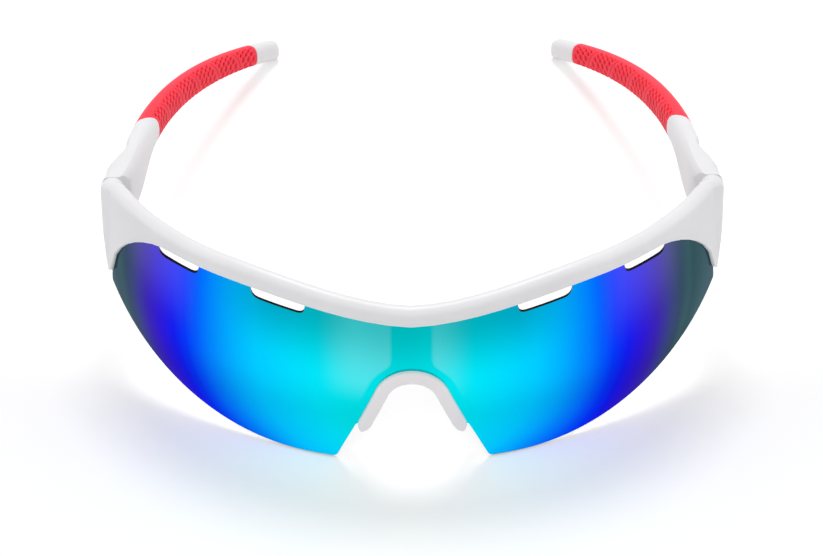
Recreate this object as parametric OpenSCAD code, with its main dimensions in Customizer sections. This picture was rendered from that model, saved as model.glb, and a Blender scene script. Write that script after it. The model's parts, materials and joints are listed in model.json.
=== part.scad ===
// Cycling sunglasses: one mirrored shield lens clipped up into a half-rim brow frame, a rubber nose
// pad on the lens, and two folding temples with sleeves of rubber for the grips.
// Every piece is drawn as worn, with the lens upright and its front at Y = 0 (+X is the wearer's
// left, +Y goes back along the temples). The whole is then tilted to stand as it does on a table,
// on the two lens lobes and the two temple tips, with its origin under the middle of its box.

/* [Lens] */
// Radius of the lens's front face, seen from above
lens_r = 80; // [78:0.5:84]
// Radius of the lens's front face, seen from the side
bow_r = 120; // [110:5:180]
// Height at which the lens bulges most
bow_z = 24; // [18:1:30]
// Thickness of the lens
lens_t = 1.4; // [1.2:0.1:1.8]
// Angle from the middle of the lens to each end
lens_reach = 62; // [61:0.5:64]
// Angle from the middle to the low point of each lobe
lobe_a = 17.8; // [14:0.2:20]
// Height of the blunt end's lower corner above the lobes
lens_end_low = 22.8; // [18:0.2:25]
// How far the lens reaches up into the frame's groove
lens_lap = 1.6; // [1:0.1:2]

/* [Vents] */
// Angle at which the inner vent starts
vent_in_a = 17.4; // [16:0.1:18.5]
// Angle at which the inner vent ends
vent_in_b = 27; // [25:0.1:29]
// Angle at which the outer vent starts
vent_out_a = 37.4; // [35:0.1:39]
// Angle at which the outer vent ends
vent_out_b = 47; // [44:0.1:48]
// Depth of a vent below the brow
vent_depth = 2.6; // [2.3:0.1:3.4]
// Radius of a vent's lower corners
vent_corner = 1.9; // [1:0.1:2.2]

/* [Brow frame] */
// Height of the brow's lower edge at the middle
brow_z = 39.4; // [37:0.2:41]
// Rise of the brow from the middle to over each eye
brow_rise = 4.8; // [3:0.2:6]
// Angle over which the brow rises
brow_rise_a = 32; // [28:1:38]
// Height of the brow bar
brow_h = 4; // [3.6:0.1:5]
// Frame in front of the lens
front_lip = 0.9; // [0.8:0.05:1.4]
// Frame behind the lens
back_lip = 1.6; // [1.3:0.05:1.8]
// Angle at which the rim turns down round the lens's end
corner_a = 44.5; // [42:0.5:46]
// Height of the rim's lower tip beside the lens's end
rim_tip_z = 25.6; // [24:0.2:28]
// Plan radius of the frame's outer corners
corner_r = 8; // [6:0.5:9]
// Share of the lens's inward lean that the frame keeps at the hinge
corner_lean = 0.1; // [0:0.05:0.6]

/* [Hinge] */
// Distance of the hinge axis in from the frame's outer face
axis_in = 3.7; // [3.6:0.05:3.8]
// Straight run of the frame's end before the seam
seam_run = 1.4; // [1.2:0.1:2]
// Fold for which each hinge is opened
hinge_fold = 90; // [60:1:90]
// Distance from the hinge axis back to the seam
seam_back = 2.4; // [2.3:0.05:2.6]
// Height of the frame's end at the hinge
hinge_h = 14; // [13:0.2:15]
// Width of the frame's end at the hinge
hinge_w = 5.5; // [5.3:0.1:6]
// Radius of the temple's hinge barrel
barrel_r = 1.7; // [1.6:0.05:1.75]
// Height of the temple's hinge barrel
barrel_h = 6.4; // [5.6:0.2:7]
// Radius of the frame's knuckles above and below the barrel
knuckle_r = 1.8; // [1.7:0.05:1.9]
// Radius of the hinge screw
screw_r = 0.7; // [0.6:0.05:0.75]
// Radius of the hinge screw's head
screw_head_r = 1.15; // [1:0.05:1.2]
// Height of the hinge screw's head
screw_head_h = 0.9; // [0.7:0.1:1.1]
// Wall of the bush in the barrel
bush_wall = 0.3; // [0.2:0.05:0.4]
// Outer radius of the threaded insert
insert_r = 1.2; // [1.1:0.05:1.25]
// Length of the threaded insert
insert_h = 2; // [1.6:0.2:2]

/* [Temples] */
// Length of a temple behind the seam
temple_len = 116; // [110:0.5:122]
// Fall of a temple's upper edge from the seam to the tip
temple_fall = 33; // [26:0.5:36]
// Part of that fall that a straight temple would have
temple_straight_fall = 11.5; // [8:0.5:18]
// Inward step of a temple behind the hinge
shoulder_step = 3.4; // [2:0.2:5]
// Distance over which that step fades
shoulder_run = 9.5; // [7:0.5:12]
// Inward reach of the tip round the ear
ear_wrap = 28.5; // [20:0.5:36]
// How late that curve comes: 2 bends evenly, more bends near the tip
wrap_power = 2.3; // [2:0.05:3.2]
// Height of a temple where its grip starts
rod_h = 9.6; // [8:0.2:11]
// Height of a temple near its tip
tip_h = 5.7; // [5:0.1:8]
// Width of a temple where its grip starts
rod_w = 5.4; // [4.8:0.1:5.8]
// Width of a temple near its tip
tip_w = 3.8; // [3.6:0.1:4.8]
// Distance behind the seam at which the outer face swells most
swell_y = 7.5; // [6:0.5:11]
// Height of that swelling
swell_h = 1.4; // [0:0.1:2]
// Distance behind the seam of the waist in a temple's outer face
waist_y = 17.5; // [15:0.5:20]
// Depth of that waist
waist_depth = 1.3; // [0.4:0.1:1.6]
// Chamfer of the inner front corner, which clears the frame when a temple is folded
fold_chamfer = 1.2; // [1.1:0.1:1.6]

/* [Grips] */
// Distance from the seam to the grip's front edge on the outer side
grip_start = 30.5; // [27:0.5:34]
// How much further back the grip starts on the inner side
grip_skew = 6; // [3:0.5:9]
// Distance from the seam to the grip's rear edge
grip_end = 105; // [97:0.5:108]
// Thickness of the rubber
grip_t = 1; // [0.8:0.05:1.2]
// Spacing of the ribs under a grip
rib_pitch = 2.6; // [2:0.1:4]
// Depth of the grooves between the ribs
rib_depth = 0.3; // [0.1:0.05:0.4]

/* [Nose pad] */
// Height of the nose pad's crown line
pad_z = 26.2; // [24:0.2:28]
// Height of the nose pad's feet
pad_foot_z = 10.2; // [8:0.2:12]
// Radius of the nose pad's arch
pad_arch_r = 7.3; // [6:0.1:8]
// Splay of the nose pad's legs
pad_splay = 22.8; // [18:0.2:26]
// Half width of the nose pad's band at its feet
pad_half = 1.5; // [1.3:0.1:1.8]
// Half width of the nose pad's band at its crown
pad_crown_half = 1.6; // [1.4:0.1:2]
// Rubber in front of the lens
pad_front = 1.2; // [1:0.1:1.6]
// Depth of the pad behind the lens at its crown
pad_crown_depth = 4.6; // [4.2:0.2:6]
// Depth of the pad behind the lens at its feet
pad_foot_depth = 7.5; // [6:0.5:10]
// Outward lean of the legs behind the lens
pad_flare = 24; // [10:1:32]

/* [Hidden] */

white = "#e9e9ec";
pad_white = "#dcdde0";
coral = "#ff4c5c";
steel = "#b4b7bb";
brass = "#c7a35a";

// Clearances: lens in its groove, turning barrel in its slot, pin in its bush, fixed fits
groove_gap = 0.08;
slot_gap = 0.15;
pin_gap = 0.05;
fit_gap = 0.02;
round_fn = 96;

function smooth(t) = let(u = min(1, max(0, t))) u * u * (3 - 2 * u);
function blend(a, b, t) = a + (b - a) * t;

// Lens face: how far it leans in at a height, and its Y by place and offset
function lens_lean(z) = sqrt(pow(bow_r, 2) - pow(z - bow_z, 2)) - bow_r;
function face_y(x, z, off = 0) = lens_r - sqrt(pow(lens_r + lens_lean(z) + off, 2) - x * x);

// Lower edge of the brow and rim in front of the lens, by angle from the middle
brow_lip_z = brow_z + brow_rise;
rim_tip_a = lens_reach - 0.8;
rim_power = 1.7;
function brow_line(a) = brow_z + brow_rise * pow(sin(90 * min(1, a / brow_rise_a)), 1.5);
function quarter(t, power) = pow(1 - pow(min(1, max(0, t)), power), 1 / power);
function lip_z(a) = a < corner_a ? brow_line(a)
    : blend(rim_tip_z, brow_lip_z, quarter((a - corner_a) / (rim_tip_a - corner_a), rim_power));

// Upper edge of the lens inside the groove
lens_end_high = rim_tip_z - 2;
function lens_top(a) = a < corner_a ? brow_line(a) + lens_lap
    : blend(lens_end_high, brow_lip_z + lens_lap,
        quarter((a - corner_a) / (lens_reach - corner_a), rim_power + 0.3));
function lens_bottom(a) = lens_end_low * pow(max(0, a - lobe_a) / (lens_reach - lobe_a), 2);
function outline_point(a, z) = [(lens_r + lens_lean(z)) * sin(a), z];

// Centre line of the nose pad: an arch and two splayed legs, and points beside it
pad_arch_z = pad_z - pad_arch_r;
function pad_leg(off, z) =
    let(run = (pad_arch_z + (pad_arch_r + off) * sin(pad_splay) - z) / cos(pad_splay))
    [(pad_arch_r + off) * cos(pad_splay) + run * sin(pad_splay), z];
function pad_arch(off, t) = [(pad_arch_r + off) * cos(t), pad_arch_z + (pad_arch_r + off) * sin(t)];

// Lens outline: notch under the pad, lobes, lower edge and upper edge
notch_off = 0.5;
lobe_off = pad_half + 0.1;
foot_free = 1.2;
lobe_corner = pad_leg(lobe_off, 0);
lobe_round = 1;
function bezier(p, q, r, t) = (1 - t) * (1 - t) * p + 2 * t * (1 - t) * q + t * t * r;
lobe_in = pad_leg(lobe_off, lobe_round);
lobe_out = lobe_corner + [lobe_round, 0];
outline_end_a = lens_reach + 2.5;
lower_start_a = asin((lobe_out[0] + 0.3) / (lens_r + lens_lean(0)));
lower_edge = [for (i = [0:22]) let(a = blend(lower_start_a, outline_end_a, i / 22))
    outline_point(a, lens_bottom(a))];
half_outline = concat(
    [for (t = [90:-9:pad_splay + 4]) pad_arch(notch_off, t)],
    [pad_leg(notch_off, pad_foot_z + foot_free + 1), pad_leg(lobe_off, pad_foot_z + foot_free)],
    [for (t = [0:0.25:1]) bezier(lobe_in, lobe_corner, lobe_out, t)],
    lower_edge,
    [for (i = [0:14]) let(a = blend(outline_end_a, corner_a, i / 14)) outline_point(a, lens_top(a))],
    [for (i = [1:16]) let(a = blend(corner_a, 0, i / 16)) outline_point(a, lens_top(a))]
);
function mirrored(points) =
    [for (i = [len(points) - 1:-1:0]) if (points[i][0] > 0.01) [-points[i][0], points[i][1]]];

// Vent outline between two angles, open at the top, with rounded lower corners
function vent_points(a0, a1) =
    let(
        z0 = brow_line(a0) - vent_depth,
        z1 = brow_line(a1) - vent_depth,
        p0 = outline_point(a0, z0),
        p1 = outline_point(a1, z1),
        rise = brow_lip_z + lens_lap + 3,
        along = (p1 - p0) / norm(p1 - p0)
    )
    concat(
        [[p0[0], rise]],
        [for (t = [0:0.2:1]) bezier(p0 + [0, vent_corner], p0, p0 + vent_corner * along, t)],
        [for (t = [0:0.2:1]) bezier(p1 - vent_corner * along, p1, p1 + [0, vent_corner], t)],
        [[p1[0], rise]]
    );

// Triangles between neighbouring rings of n points, where a tube's last ring joins its first
function ring_faces(count, n, tube) =
    [for (i = [0:count - (tube ? 1 : 2)], j = [0:n - 1], first = [true, false])
        let(a = i * n, b = (i + 1) % count * n, k = (j + 1) % n)
        first ? [a + j, a + k, b + k] : [a + j, b + k, b + j]];
function turned(face) = [for (i = [len(face) - 1:-1:0]) face[i]];

// Skin through a list of rings: a capped rod, or a tube whose rings go on inside and come back outside
module skin(sections, tube = false) {
    n = len(sections[0]);
    count = len(sections);
    sides = ring_faces(count, n, tube);
    first_cap = [for (j = [0:n - 1]) j];
    last_cap = [for (j = [0:n - 1]) (count - 1) * n + j];
    polyhedron(
        points = [for (s = sections, p = s) p],
        faces = tube ? [for (f = sides) turned(f)] : concat(sides, [turned(first_cap), last_cap]),
        convexity = 6
    );
}

// Frame path, seen from above: along the lens face, round the outer corner, back to the seam
corner_centre = [(lens_r - corner_r) * sin(lens_reach), lens_r - (lens_r - corner_r) * cos(lens_reach)];
outer_x = corner_centre[0] + corner_r + front_lip;
seam_y = corner_centre[1] + seam_run;
function path_point(h) = h <= lens_reach ? [lens_r * sin(h), lens_r - lens_r * cos(h)]
    : corner_centre + corner_r * [sin(h), -cos(h)];
hinge_top = brow_lip_z + brow_h;
hinge_bottom = hinge_top - hinge_h;
// Angle past the lens's end at which the groove closes
lens_end_gap = 0.25;
corner_rise_a = 90 - lens_reach - lens_end_gap;
// Angles from which the bar widens towards the hinge, and over which its top comes level
widen_from = lens_reach - 12;
level_from = lens_reach - 14;
level_run = 34;

// One section of the frame: heading, whether the groove is closed, plan point
function frame_section(h, closed, p) =
    let(
        a = min(h, lens_reach),
        turn = smooth((h - lens_reach) / (90 - lens_reach)),
        bar_growth = smooth((h - widen_from) / (90 - widen_from)),
        off_front = front_lip,
        off_back = blend(-lens_t - back_lip, front_lip - hinge_w, bar_growth),
        mid = (off_front + off_back) / 2,
        half = (off_front - off_back) / 2,
        top = blend(brow_line(a) + brow_h, hinge_top, smooth((h - level_from) / level_run)),
        bottom = blend(lip_z(a), hinge_bottom, pow(min(1, max(0, (h - lens_reach - lens_end_gap)
            / corner_rise_a)), 0.75)),
        low = blend(0.5, 1.4, turn),
        cap = min(half, (top - bottom) / 2),
        inner_a = asin((lens_r - lens_t) / lens_r * sin(min(a, lens_reach))),
        roof_z = closed ? bottom - 0.02 : lens_top(inner_a) + 2 * groove_gap,
        lips = closed ? [mid + 0.4, mid - 0.4] : [groove_gap, -lens_t - groove_gap],
        roof = closed ? [mid + 0.1, mid - 0.1] : lips,
        heel = bottom + 0.06 * low,
        shape = concat(
            [[lips[0], bottom], [off_front - low, heel], [off_front - 0.3 * low, bottom + 0.35 * low],
                [off_front, bottom + low]],
            [for (t = [0:20:180]) [mid + half * cos(t), top - cap + cap * sin(t)]],
            [[off_back, bottom + low], [off_back + 0.3 * low, bottom + 0.35 * low],
                [off_back + low, heel], [lips[1], bottom], [roof[1], roof_z], [roof[0], roof_z]]
        )
    )
    [for (q = shape) let(off = q[0] + lens_lean(q[1]) * blend(1, corner_lean, turn))
        [p[0] + off * sin(h), p[1] - off * cos(h), q[1]]];

// Sections of the frame, closer together towards the steep end of the rim
lens_steps = 22;
corner_steps = 7;
closed_from = lens_reach + 2;
half_frame = concat(
    [for (i = [0:lens_steps]) let(h = (lens_reach + lens_end_gap) * (1 - pow(1 - i / lens_steps, 1.3)))
        frame_section(h, false, path_point(h))],
    [for (i = [0:corner_steps]) let(h = blend(closed_from, 90, i / corner_steps))
        frame_section(h, true, path_point(h))],
    [frame_section(90, true, [path_point(90)[0], seam_y])]
);
function flip_x(section) = [for (p = section) [-p[0], p[1], p[2]]];
whole_frame = concat(
    [for (i = [len(half_frame) - 1:-1:1]) flip_x(half_frame[i])],
    half_frame
);

// Hinge axis, and the stack from the head of the screw up: lower lug, barrel, upper lug with the insert
axis_x = outer_x - axis_in;
axis_y = seam_y - seam_back;
slot_low = hinge_bottom + (hinge_h - barrel_h) / 2 - slot_gap;
slot_high = slot_low + barrel_h + 2 * slot_gap;
bush_r = screw_r + pin_gap + bush_wall;
head_cover = 0.4;
head_seat = hinge_bottom + head_cover + screw_head_h;
knuckle_low = hinge_bottom + 0.3;
knuckle_high = slot_high + insert_h + 0.6;
// Depth below the lug from which the screw is put in, through the slope of the rim
screw_way = 6;

// Temple: plan line, upper edge, height and widths, by distance behind the seam
seam_gap = 0.15;
temple_x = outer_x - hinge_w / 2;
function temple_line(s) = temple_x - shoulder_step * (1 - exp(-s / shoulder_run))
    - ear_wrap * pow(s / temple_len, wrap_power);
function temple_heading(s) = atan2(0.2, temple_line(s + 0.1) - temple_line(max(0, s - 0.1)));
function temple_top(s) = hinge_top - temple_straight_fall * s / temple_len
    - (temple_fall - temple_straight_fall) * pow(s / temple_len, 2);
function temple_height(s) = blend(rod_h, tip_h, s / temple_len)
    + (hinge_h - rod_h) * (1 - smooth((s - 10) / 24));
function temple_half_w(s) = s < grip_start ? blend(hinge_w, rod_w, smooth(s / grip_start)) / 2
    : blend(rod_w, tip_w, (s - grip_start) / (temple_len - grip_start)) / 2;
function outer_swell(s) = swell_h * exp(-pow((s - swell_y) / 5, 2))
    - waist_depth * exp(-pow((s - waist_y) / 3, 2));
tip_round = 1.5;
function tip_inset(s) = let(u = max(0, s - temple_len + tip_round) / tip_round)
    tip_round * (1 - sqrt(max(0, 1 - u * u)));

// A ring of the temple, thinned all round by a skin; s may differ round the ring
ring_points = 20;
function super_cos(t, n) = sign(cos(t)) * pow(abs(cos(t)), 2 / n);
function super_sin(t, n) = sign(sin(t)) * pow(abs(sin(t)), 2 / n);
function temple_point(s, t, thin) =
    let(
        n = blend(4, 2.6, smooth(s / grip_start)),
        head = blend(90, temple_heading(s), smooth(s / 8)),
        inset = thin + tip_inset(s),
        z = temple_top(s) - temple_height(s) / 2
            + super_sin(t, n) * (temple_height(s) / 2 - inset),
        lean = corner_lean * lens_lean(z) * (1 - smooth(s / 20)),
        out = super_cos(t, n) * (temple_half_w(s) - inset) + outer_swell(s) * max(0, cos(t)) + lean
    )
    [temple_line(s) + out * sin(head), seam_y + s - out * cos(head), z];
function ring_angle(j) = 360 * j / ring_points;
function grip_front(t) = grip_start + grip_skew * (1 - cos(t)) / 2;
front_steps = 14;
grip_steps = 18;
tip_steps = 8;
function front_ring(i) = [for (j = [0:ring_points - 1]) let(t = ring_angle(j))
    temple_point(blend(seam_gap, grip_front(t), i / front_steps), t, 0)];
function grip_place(u, t, inset) = blend(grip_front(t) + inset, grip_end - inset, u);
function grip_ring(i, thin, inset) = [for (j = [0:ring_points - 1]) let(t = ring_angle(j))
    temple_point(grip_place(i / grip_steps, t, inset), t, thin)];
// Every other ring of the grip's outside is sunk on its lower side, which leaves ribs
rib_steps = 2 * round((grip_end - grip_start) / rib_pitch);
function rib_ring(i, inset) = [for (j = [0:ring_points - 1]) let(t = ring_angle(j))
    temple_point(grip_place(i / rib_steps, t, inset), t, rib_depth * (i % 2) * smooth(-2 * sin(t)))];
function tip_ring(i) = [for (j = [0:ring_points - 1])
    temple_point(blend(grip_end, temple_len, sqrt(1 - pow(1 - i / tip_steps, 2))), ring_angle(j), 0)];

// Nose pad: stations along the crown line and legs, and the band's section at each
pad_arch_steps = 10;
pad_leg_steps = 8;
leg_run = (pad_arch_z + pad_arch_r * sin(pad_splay) - pad_foot_z) / cos(pad_splay);
function pad_station(i) = i <= pad_arch_steps
    ? let(t = blend(90, pad_splay, i / pad_arch_steps)) [pad_arch(0, t), [cos(t), sin(t)], 0]
    : let(u = (i - pad_arch_steps) / pad_leg_steps)
        [pad_leg(0, pad_arch_z + pad_arch_r * sin(pad_splay) - u * leg_run * cos(pad_splay)),
            [cos(pad_splay), sin(pad_splay)], u];
function pad_section(i) =
    let(
        q = pad_station(i),
        share = i / (pad_arch_steps + pad_leg_steps),
        foot = q[2] > 0.8 ? sqrt(1 - pow((q[2] - 0.8) / 0.23, 2)) : 1,
        out = blend(pad_crown_half, pad_half, smooth(share * 1.6)) * foot,
        depth = blend(pad_crown_depth, pad_foot_depth, smooth(share)) * blend(0.8, 1, foot),
        lean = tan(pad_flare) * smooth(share * 1.4),
        groove = min(out - 0.05, notch_off - groove_gap),
        back = lens_t + groove_gap,
        rear = lens_t + depth,
        r = 0.45,
        shape = [
            [out - r, -pad_front], [out, -pad_front + r], [out, -groove_gap], [groove, -groove_gap],
            [groove, back], [out, back], [out + lean * 1.2, back + 1.2],
            [out * 0.8 + lean * depth, rear - 2 * r], [out * 0.8 - r + lean * depth, rear],
            [-out * 0.6 + r + lean * depth, rear], [-out * 0.7 + lean * depth, rear - r],
            [-out + lean * 1.2, back + 1.2], [-out, 0], [-out, -pad_front + r], [-out + r, -pad_front]
        ]
    )
    [for (p = shape) let(x = q[0][0] + p[0] * q[1][0], z = q[0][1] + p[0] * q[1][1])
        [x, p[1] < lens_t / 2 ? face_y(x, z) + p[1] : face_y(x, z, -lens_t) + p[1] - lens_t, z]];
half_pad = [for (i = [0:pad_arch_steps + pad_leg_steps]) pad_section(i)];
whole_pad = concat([for (i = [len(half_pad) - 1:-1:1]) flip_x(half_pad[i])], half_pad);

// Pose on the table: the line from the side that touches the lobes and the tips from below
lobe_points = [for (p = lower_edge) [face_y(p[0], p[1], -lens_t), p[1]]];
tip_points = [for (i = [0:tip_steps], p = tip_ring(i)) [p[1], p[2]]];
rest_tilt = max([for (p = lobe_points) min([for (q = tip_points) atan2(q[1] - p[1], q[0] - p[0])])]);
function rest_y(p) = p[0] * cos(rest_tilt) + p[1] * sin(rest_tilt);
function rest_z(p) = p[1] * cos(rest_tilt) - p[0] * sin(rest_tilt);
floor_z = min([for (p = lobe_points) rest_z(p)]);
front_y = min([for (s = half_pad, p = s) rest_y([p[1], p[2]])]);
back_y = max([for (p = tip_points) rest_y(p)]);

module at_rest() {
    translate([0, -(front_y + back_y) / 2, -floor_z]) rotate([-rest_tilt, 0, 0]) children();
}

// The wearer's left is drawn and the right is its mirror image
module side(name) {
    mirror([name == "right" ? 1 : 0, 0, 0]) children();
}

module lens_outline() {
    difference() {
        polygon(concat(half_outline, mirrored(half_outline)));
        for (s = [0, 1], v = [[vent_in_a, vent_in_b], [vent_out_a, vent_out_b]])
            mirror([s, 0]) polygon(vent_points(v[0], v[1]));
    }
}

module lens_band() {
    intersection() {
        translate([lens_r - 12, -2]) square([14, brow_lip_z + 6]);
        difference() {
            translate([lens_r - bow_r, bow_z]) circle(bow_r, $fn = 360);
            translate([lens_r - bow_r, bow_z]) circle(bow_r - lens_t, $fn = 360);
        }
    }
}

module shield_lens() {
    color("#1fb5e6") intersection() {
        translate([0, lens_r, 0]) rotate([0, 0, 270 - lens_reach])
            rotate_extrude(angle = 2 * lens_reach, $fn = 240) lens_band();
        translate([0, lens_r * 0.75, 0]) rotate([90, 0, 0]) linear_extrude(lens_r * 0.75 + 5) lens_outline();
    }
}

// Plan shape cut out of the frame for the turning barrel, open to the back and the inner side
module slot_plan() {
    r = barrel_r + slot_gap;
    reach = hinge_w + 3;
    circle(r, $fn = round_fn);
    translate([-reach, 0]) square([reach, reach]);
    translate([-r, 0]) square([2 * r, reach]);
    rotate(hinge_fold) translate([-r, 0]) square([2 * r, reach]);
}

// Plan shape of the stop beside the lugs, where the end of a folded temple comes to lie
module stop_plan() {
    front = fold_chamfer + slot_gap;
    depth = front + 1.25 * fold_chamfer;
    polygon([[-seam_back, 1], [-seam_back, -front], [-seam_back - 1.5 * fold_chamfer, -depth],
        [-3 * hinge_w, -depth], [-3 * hinge_w, 1]]);
}

// The frame's knuckles, whose slot, bores and counterbore are cut afterwards
module knuckles() {
    translate([axis_x, axis_y, 0]) {
        translate([0, 0, knuckle_low]) cylinder(r = knuckle_r, h = slot_low - knuckle_low + 0.1,
            $fn = round_fn);
        translate([0, 0, slot_high - 0.1]) cylinder(r = knuckle_r, h = knuckle_high - slot_high + 0.1,
            $fn = round_fn);
    }
}

module hinge_cuts() {
    translate([axis_x, axis_y, 0]) {
        translate([0, 0, slot_low]) linear_extrude(slot_high - slot_low) slot_plan();
        translate([0, 0, hinge_bottom - slot_gap]) linear_extrude(hinge_h + 4) stop_plan();
        // the lugs' inner rear corner is rounded about the axis
        translate([0, 0, hinge_bottom - 2]) linear_extrude(hinge_h + 4) difference() {
            translate([-hinge_w, 0]) square([hinge_w, hinge_w]);
            circle(seam_back, $fn = round_fn);
        }
        translate([0, 0, hinge_bottom - screw_way]) cylinder(r = screw_head_r + fit_gap,
            h = head_seat - hinge_bottom + screw_way, $fn = round_fn);
        translate([0, 0, hinge_bottom]) cylinder(r = screw_r + fit_gap, h = hinge_h / 2, $fn = round_fn);
        translate([0, 0, slot_high - 1]) cylinder(r = insert_r + fit_gap, h = insert_h + 1 + fit_gap,
            $fn = round_fn);
    }
}

module front_frame() {
    color(white) difference() {
        union() {
            skin(whole_frame);
            for (s = [0, 1]) mirror([s, 0, 0]) knuckles();
        }
        for (s = [0, 1]) mirror([s, 0, 0]) hinge_cuts();
    }
}

module nose_pad() {
    color(pad_white) skin(whole_pad);
}

// Plan shape of the chamfer on a temple's inner front corner
module fold_corner() {
    corner = [temple_x - hinge_w / 2, seam_y + seam_gap];
    side = 1.3 * fold_chamfer;
    polygon([corner + [-hinge_w, -1], corner + [fold_chamfer, -1], corner + [fold_chamfer, 0],
        corner + [0, side], corner + [-hinge_w / 2, side + hinge_w / 2], corner + [-hinge_w, side]]);
}

module temple() {
    color(white) difference() {
        union() {
            difference() {
                skin(concat(
                    [for (i = [0:front_steps]) front_ring(i)],
                    [for (i = [0:grip_steps]) grip_ring(i, grip_t, fit_gap)],
                    [for (i = [0:tip_steps]) tip_ring(i)]
                ));
                translate([0, 0, hinge_bottom - 1]) linear_extrude(hinge_h + 2) fold_corner();
            }
            translate([axis_x, axis_y, slot_low + slot_gap]) linear_extrude(barrel_h) {
                circle(barrel_r, $fn = round_fn);
                translate([-barrel_r, 0]) square([2 * barrel_r, seam_back + 2.5]);
            }
        }
        translate([axis_x, axis_y, slot_low - 1]) cylinder(r = bush_r + fit_gap, h = barrel_h + 4,
            $fn = round_fn);
    }
}

module temple_grip() {
    end_gap = 3 * fit_gap;
    color(coral) skin(concat(
        [for (i = [0:grip_steps]) grip_ring(i, grip_t - 2 * fit_gap, end_gap)],
        [for (i = [rib_steps:-1:0]) rib_ring(i, end_gap)]
    ), tube = true);
}

module hinge_screw() {
    color(steel) translate([axis_x, axis_y, 0]) difference() {
        union() {
            translate([0, 0, head_seat - screw_head_h]) cylinder(r = screw_head_r, h = screw_head_h,
                $fn = round_fn);
            translate([0, 0, head_seat - screw_head_h]) cylinder(r = screw_r,
                h = slot_high + insert_h - 0.1 - head_seat + screw_head_h, $fn = round_fn);
        }
        translate([-screw_head_r - 1, -0.2, head_seat - screw_head_h - 1])
            cube([2 * screw_head_r + 2, 0.4, 1.4]);
    }
}

module hinge_insert() {
    color(brass) translate([axis_x, axis_y, slot_high]) difference() {
        cylinder(r = insert_r, h = insert_h, $fn = round_fn);
        translate([0, 0, -1]) cylinder(r = screw_r + fit_gap, h = insert_h + 2, $fn = round_fn);
    }
}

module hinge_bush() {
    color(brass) translate([axis_x, axis_y, slot_low + slot_gap]) difference() {
        cylinder(r = bush_r, h = barrel_h, $fn = round_fn);
        translate([0, 0, -1]) cylinder(r = screw_r + pin_gap, h = barrel_h + 2, $fn = round_fn);
    }
}

at_rest() front_frame();
at_rest() shield_lens();
at_rest() nose_pad();
at_rest() side("left") temple();  // temple_left
at_rest() side("right") temple();  // temple_right
at_rest() side("left") temple_grip();  // temple_grip_left
at_rest() side("right") temple_grip();  // temple_grip_right
at_rest() side("left") hinge_screw();  // hinge_screw_left
at_rest() side("right") hinge_screw();  // hinge_screw_right
at_rest() side("left") hinge_insert();  // hinge_insert_left
at_rest() side("right") hinge_insert();  // hinge_insert_right
at_rest() side("left") hinge_bush();  // hinge_bush_left
at_rest() side("right") hinge_bush();  // hinge_bush_right
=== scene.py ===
"""Cycling sunglasses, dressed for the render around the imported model.

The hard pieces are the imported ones, shaded smooth and given their finishes. The lens, the nose pad and
the two rubber grips are modelled here in full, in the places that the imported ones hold.
Pieces are worked out as worn, in millimetres, with the lens upright and its front at Y = 0, and then
placed with the pose that the hinge joint gives.
"""

import json
import math

import bmesh
import bpy
import numpy as np
from mathutils import Matrix, Vector, geometry


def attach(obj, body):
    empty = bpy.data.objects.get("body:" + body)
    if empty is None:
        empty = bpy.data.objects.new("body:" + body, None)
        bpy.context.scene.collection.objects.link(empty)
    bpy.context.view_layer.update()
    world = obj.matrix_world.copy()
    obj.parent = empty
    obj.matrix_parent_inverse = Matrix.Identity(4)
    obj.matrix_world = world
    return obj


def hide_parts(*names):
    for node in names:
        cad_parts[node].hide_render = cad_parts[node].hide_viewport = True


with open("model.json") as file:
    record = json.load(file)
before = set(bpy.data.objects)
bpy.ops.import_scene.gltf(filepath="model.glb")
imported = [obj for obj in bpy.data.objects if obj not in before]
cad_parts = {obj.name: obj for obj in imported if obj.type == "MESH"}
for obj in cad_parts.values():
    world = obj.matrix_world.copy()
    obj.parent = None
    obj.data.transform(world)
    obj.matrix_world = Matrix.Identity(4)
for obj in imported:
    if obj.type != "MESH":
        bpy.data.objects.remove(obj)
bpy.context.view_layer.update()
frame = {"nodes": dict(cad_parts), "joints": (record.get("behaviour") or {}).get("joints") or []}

MM = 0.001
SIDES = {"left": 1, "right": -1}

# Lens
LENS_R, LENS_T, LENS_REACH = 80, 1.4, 62
BOW_R, BOW_Z = 120, 24
LOBE_A, LOBE_ROUND, LENS_END_LOW, LENS_LAP = 17.8, 1, 22.8, 1.6
VENTS = ((17.4, 27), (37.4, 47))
VENT_DEPTH, VENT_CORNER = 2.6, 1.9
EDGE_T = 0.8
BROW_Z, BROW_RISE, BROW_RISE_A, BROW_H = 39.4, 4.8, 32, 4
CORNER_A, RIM_TIP_Z, RIM_POWER = 44.5, 25.6, 1.7
CORNER_R, CORNER_LEAN, FRONT_LIP = 8, 0.1, 0.9
BROW_LIP_Z = BROW_Z + BROW_RISE

# Grid of the lens's mesh, finer round the plain strip in the middle of its coating
PITCH, GRID_HALF, GRID_LOW, GRID_HIGH = 1.25, 72, 0.6, 47
FINE_PITCH, FINE_HALF, FINE_LOW, FINE_HIGH = 0.4, 13, 17, 42

# Mirror coating
COATING_LEAN = 2.7
STRIP_HALF, STRIP_FLARE, STRIP_FILLET, STRIP_SOFT = 4.6, 1.9, 0.7, 0.5

# Hinge
AXIS_IN, SEAM_RUN, SEAM_BACK = 3.7, 1.4, 2.4
HINGE_H, HINGE_W = 14, 5.5
HINGE_TOP = BROW_LIP_Z + BROW_H
HINGE_MID = HINGE_TOP - HINGE_H / 2
LENS_END = math.radians(LENS_REACH)
OUTER_X = (LENS_R - CORNER_R) * math.sin(LENS_END) + CORNER_R + FRONT_LIP
SEAM_Y = LENS_R - (LENS_R - CORNER_R) * math.cos(LENS_END) + SEAM_RUN
AXIS_X, AXIS_Y = OUTER_X - AXIS_IN, SEAM_Y - SEAM_BACK

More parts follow.
